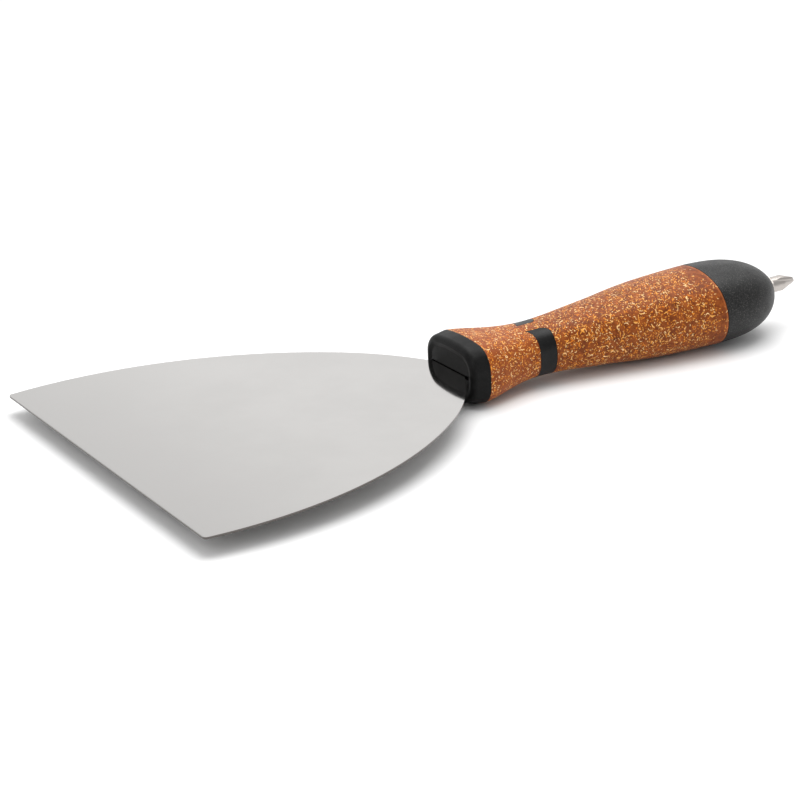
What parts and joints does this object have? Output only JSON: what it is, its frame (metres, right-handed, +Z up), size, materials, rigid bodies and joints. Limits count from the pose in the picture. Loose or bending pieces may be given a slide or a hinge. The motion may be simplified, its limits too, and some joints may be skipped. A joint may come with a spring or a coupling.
{
  "type": "flat joint knife",
  "caption": "Flat drywall joint knife: wide flexible steel blade, cork-composite grip and a cross-head driver bit in the butt.",
  "frame": {"origin": "bottom centre of the whole tool as it lies on a flat surface, on its collar and the belly of its cap", "axes": "+X from the blade edge to the butt, +Y across the blade, +Z up, away from the surface it lies on"},
  "size_m": [0.2824, 0.1514, 0.0289],
  "materials": {
    "blade_steel": "satin",
    "plain_steel": "satin",
    "black_plastic": "satin",
    "cap_plastic": "fine grain",
    "core_nylon": "as moulded",
    "cork_composite": "matt with light chips",
    "socket_steel": "turned",
    "magnet_plating": "plated",
    "bit_steel": "ground"
  },
  "bodies": {
    "knife": {"blade": "blade_steel", "tang_plate": "plain_steel", "tang_rivets": "plain_steel", "core_screws": "plain_steel", "front_collar": "black_plastic", "band_left": "black_plastic", "band_right": "black_plastic", "butt_cap": "cap_plastic", "core_upper": "core_nylon", "core_lower": "core_nylon", "cork_grip": "cork_composite", "bit_socket": "socket_steel", "socket_magnet": "magnet_plating"},
    "bit": {"driver_bit": "bit_steel"}
  },
  "joints": [
    {"name": "bit_pull", "type": "slide", "parent": "knife", "child": "bit", "axis": [0.9995, 0, 0.0332], "range_m": [0, 0.012]}
  ]
}
